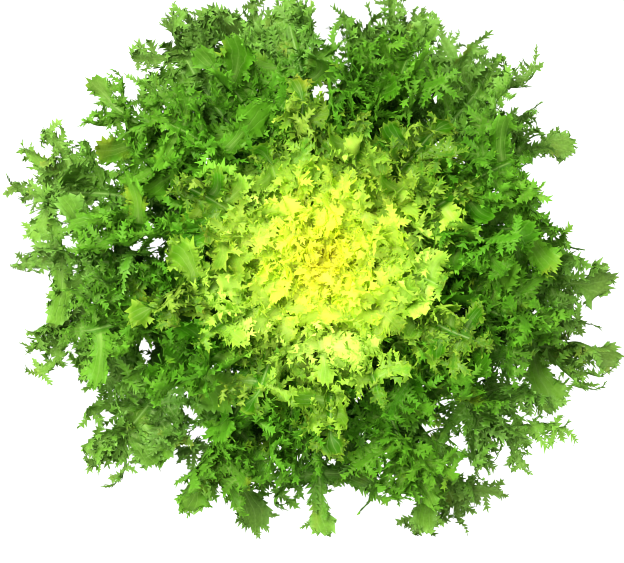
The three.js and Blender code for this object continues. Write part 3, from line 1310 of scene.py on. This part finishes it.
def bud_line(number):
    """The middle line of one leaf of the bud, from its foot to its tip."""
    share = number / (BUD_LEAVES - 1)  # 0 the outermost, 1 the innermost
    azimuth = GOLDEN_ANGLE * number
    outward = Vector((math.cos(azimuth), math.sin(azimuth), 0))
    length = blend(*BUD_LENGTHS, share)
    spread = math.radians(blend(*BUD_SPREADS, share)) * (-1 if number % 3 == 2 else 1)
    line = [Vector((0, 0, BUD_BASE)) + outward * BUD_FOOT]
    for step in range(BUD_STEPS):
        lean = BUD_LEAN + spread * (step / (BUD_STEPS - 1)) ** 3
        direction = outward * math.sin(lean) + Vector((0, 0, math.cos(lean)))
        line.append(line[-1] + direction * length / BUD_STEPS)
    return line


for number in range(BUD_LEAVES):
    leaf = grow_leaf(bud_line(number), HABITS["bud_leaf"], seed=BUD_SEED + number)
    mesh = solid_mesh(f"bud_leaf_{number + 1:02d}", leaf)
    place_piece(mesh, leaf_materials["heart_leaf"], "heart_bud")
    triangles += len(mesh.polygons)
print(BUD_LEAVES, "bud leaves,", triangles, "triangles so far")

# %% [markdown]
# ## The stem
#
# All leaves grow from one short stem. It shows only from the side and from below: cream coloured, with
# a swelling under every leaf and a flat cut face that has browned in rings where the sap dried. Its
# profile is read from the solid model and turned on a fine grid, and each leaf's foot pushes a small
# cushion out of it. The rings and the stain on the cut are paint.

# %% Stem shape
AROUND = 112  # points round the stem
STEM_ROWS = 44  # of points up it
CUSHION = 1.3  # millimetres that it swells under a leaf
CUSHION_WIDTH = 5.0
CUSHION_HEIGHT = 2.2
CUSHION_REACH = 2.5  # widths or heights away, it has faded out
SHARP_FROM = 50  # degrees between two faces that make the edge of the cut sharp
CUSHION_DROP = 1.5  # millimetres from a leaf's foot down to the middle of its cushion


def stem_profile(node):
    """The stem's radius at evenly spaced heights, in millimetres."""
    corners = corners_of(node)
    radius = np.hypot(corners[:, 0], corners[:, 1])
    levels = np.unique(np.round(corners[:, 2], 2))
    widest = [radius[np.abs(corners[:, 2] - level) < SAME_PLACE].max() for level in levels]
    heights = np.linspace(0, levels[-1], STEM_ROWS)
    return heights, np.interp(heights, levels, widest)


def stem_swell(angle, height, radius, feet):
    """How far the stem swells out at a place: slight ridges, and a cushion under each leaf's foot."""
    swell = 0.25 * math.sin(5 * angle + 0.2 * height) + 0.15 * math.sin(11 * angle - 0.3 * height)
    for foot in feet:
        turn = (angle - math.atan2(foot.y, foot.x) + math.pi) % math.tau - math.pi
        sideways = turn * radius / CUSHION_WIDTH
        upwards = (height - foot.z + CUSHION_DROP) / CUSHION_HEIGHT
        if abs(sideways) < CUSHION_REACH and abs(upwards) < CUSHION_REACH:
            swell += CUSHION * math.exp(-(sideways**2) - upwards**2)
    return swell


def stem_mesh():
    """The stem as a turned mesh, closed by the cut face below and a small face on top."""
    heights, radii = stem_profile("stem_butt")
    angles = np.arange(AROUND) * math.tau / AROUND
    feet = [line[0] for line in lines.values()]
    places = [(0, 0, 0)]
    for row, (height, radius) in enumerate(zip(heights, radii)):
        calm = min(1.0, 0.3 + row / 4) * min(1.0, radius / 8)  # it swells less at the cut and at the top
        for angle in angles:
            out = radius + stem_swell(angle, height, radius, feet) * calm
            places.append((out * math.cos(angle), out * math.sin(angle), height))
    places.append((0, 0, heights[-1]))
    faces = []
    for turn in range(AROUND):
        following = (turn + 1) % AROUND
        faces.append((0, 1 + following, 1 + turn))
        for row in range(STEM_ROWS - 1):
            below = 1 + row * AROUND
            above = below + AROUND
            faces.append((below + turn, below + following, above + following, above + turn))
        top = 1 + (STEM_ROWS - 1) * AROUND
        faces.append((top + turn, top + following, len(places) - 1))
    mesh = bpy.data.meshes.new("stem_cut")
    mesh.from_pydata(np.array(places) * MM, [], faces)
    mesh.shade_smooth()
    mesh.set_sharp_from_angle(angle=math.radians(SHARP_FROM))
    return mesh


print("the stem's radius at its widest:", round(stem_profile("stem_butt")[1].max(), 1), "mm")

# %% Stem finish and piece
STEM_TOP = 45  # millimetres, where the flank is greenest
CUT_EDGE = 22  # millimetres from the axis to the last ring
RAGGED = 5  # millimetres that blotches move the rings by
FACING_DOWN = -0.8  # below this, the upward part of the normal says that a place is on the cut
CUT_RINGS = [  # a pale pith, a ring of darker vessels and a brown stain towards the skin
    (0.0, (0.80, 0.76, 0.55, 1)),
    (0.42, (0.74, 0.68, 0.42, 1)),
    (0.58, (0.46, 0.31, 0.13, 1)),
    (0.66, (0.68, 0.58, 0.34, 1)),
    (0.84, (0.36, 0.22, 0.09, 1)),
    (1.0, (0.22, 0.12, 0.05, 1)),
]


def stem_material():
    """Cream with upright streaks, greener towards the top, and rings on the cut face."""
    material, tree, shader = plain_material("cream_stem", (0.75, 0.7, 0.45), 0.5)
    geometry = add_node(tree, "ShaderNodeNewGeometry").outputs
    place = geometry["Position"]
    stretched = vector_calc(tree, "MULTIPLY", place, (1, 1, 0.25)).outputs[0]
    streak = noise(tree, stretched, 500.0, 4.0)
    blotch = noise(tree, place, 110.0, 5.0)

    flank = tint(tree, streak, (0.80, 0.76, 0.50, 1), (0.66, 0.70, 0.36, 1))
    height_of = add_node(tree, "ShaderNodeSeparateXYZ", {0: place}).outputs[2]
    higher = times(tree, height_of, 1 / (STEM_TOP * MM), clamp=True)
    flank = tint(tree, times(tree, higher, 0.5), flank, (0.72, 0.78, 0.36, 1))

    away = away_from_axis(tree, place)
    ragged = plus(tree, away, times(tree, minus(tree, blotch, 0.5), RAGGED * MM))
    rings = color_scale(tree, calc(tree, "DIVIDE", ragged, CUT_EDGE * MM, clamp=True), CUT_RINGS)
    facing = add_node(tree, "ShaderNodeSeparateXYZ", {0: geometry["Normal"]}).outputs[2]
    on_cut = calc(tree, "LESS_THAN", facing, FACING_DOWN)
    tree.links.new(tint(tree, on_cut, flank, rings), shader.inputs["Base Color"])

    relief = {"Height": plus(tree, streak, times(tree, blotch, 0.6)), "Strength": 0.6, "Distance": 0.0005}
    tree.links.new(add_node(tree, "ShaderNodeBump", relief).outputs["Normal"], shader.inputs["Normal"])
    tree.links.new(plus(tree, 0.42, times(tree, blotch, 0.3)), shader.inputs["Roughness"])
    return material


stem = place_piece(stem_mesh(), stem_material(), "stem_butt")
print("stem:", len(stem.data.polygons), "faces")
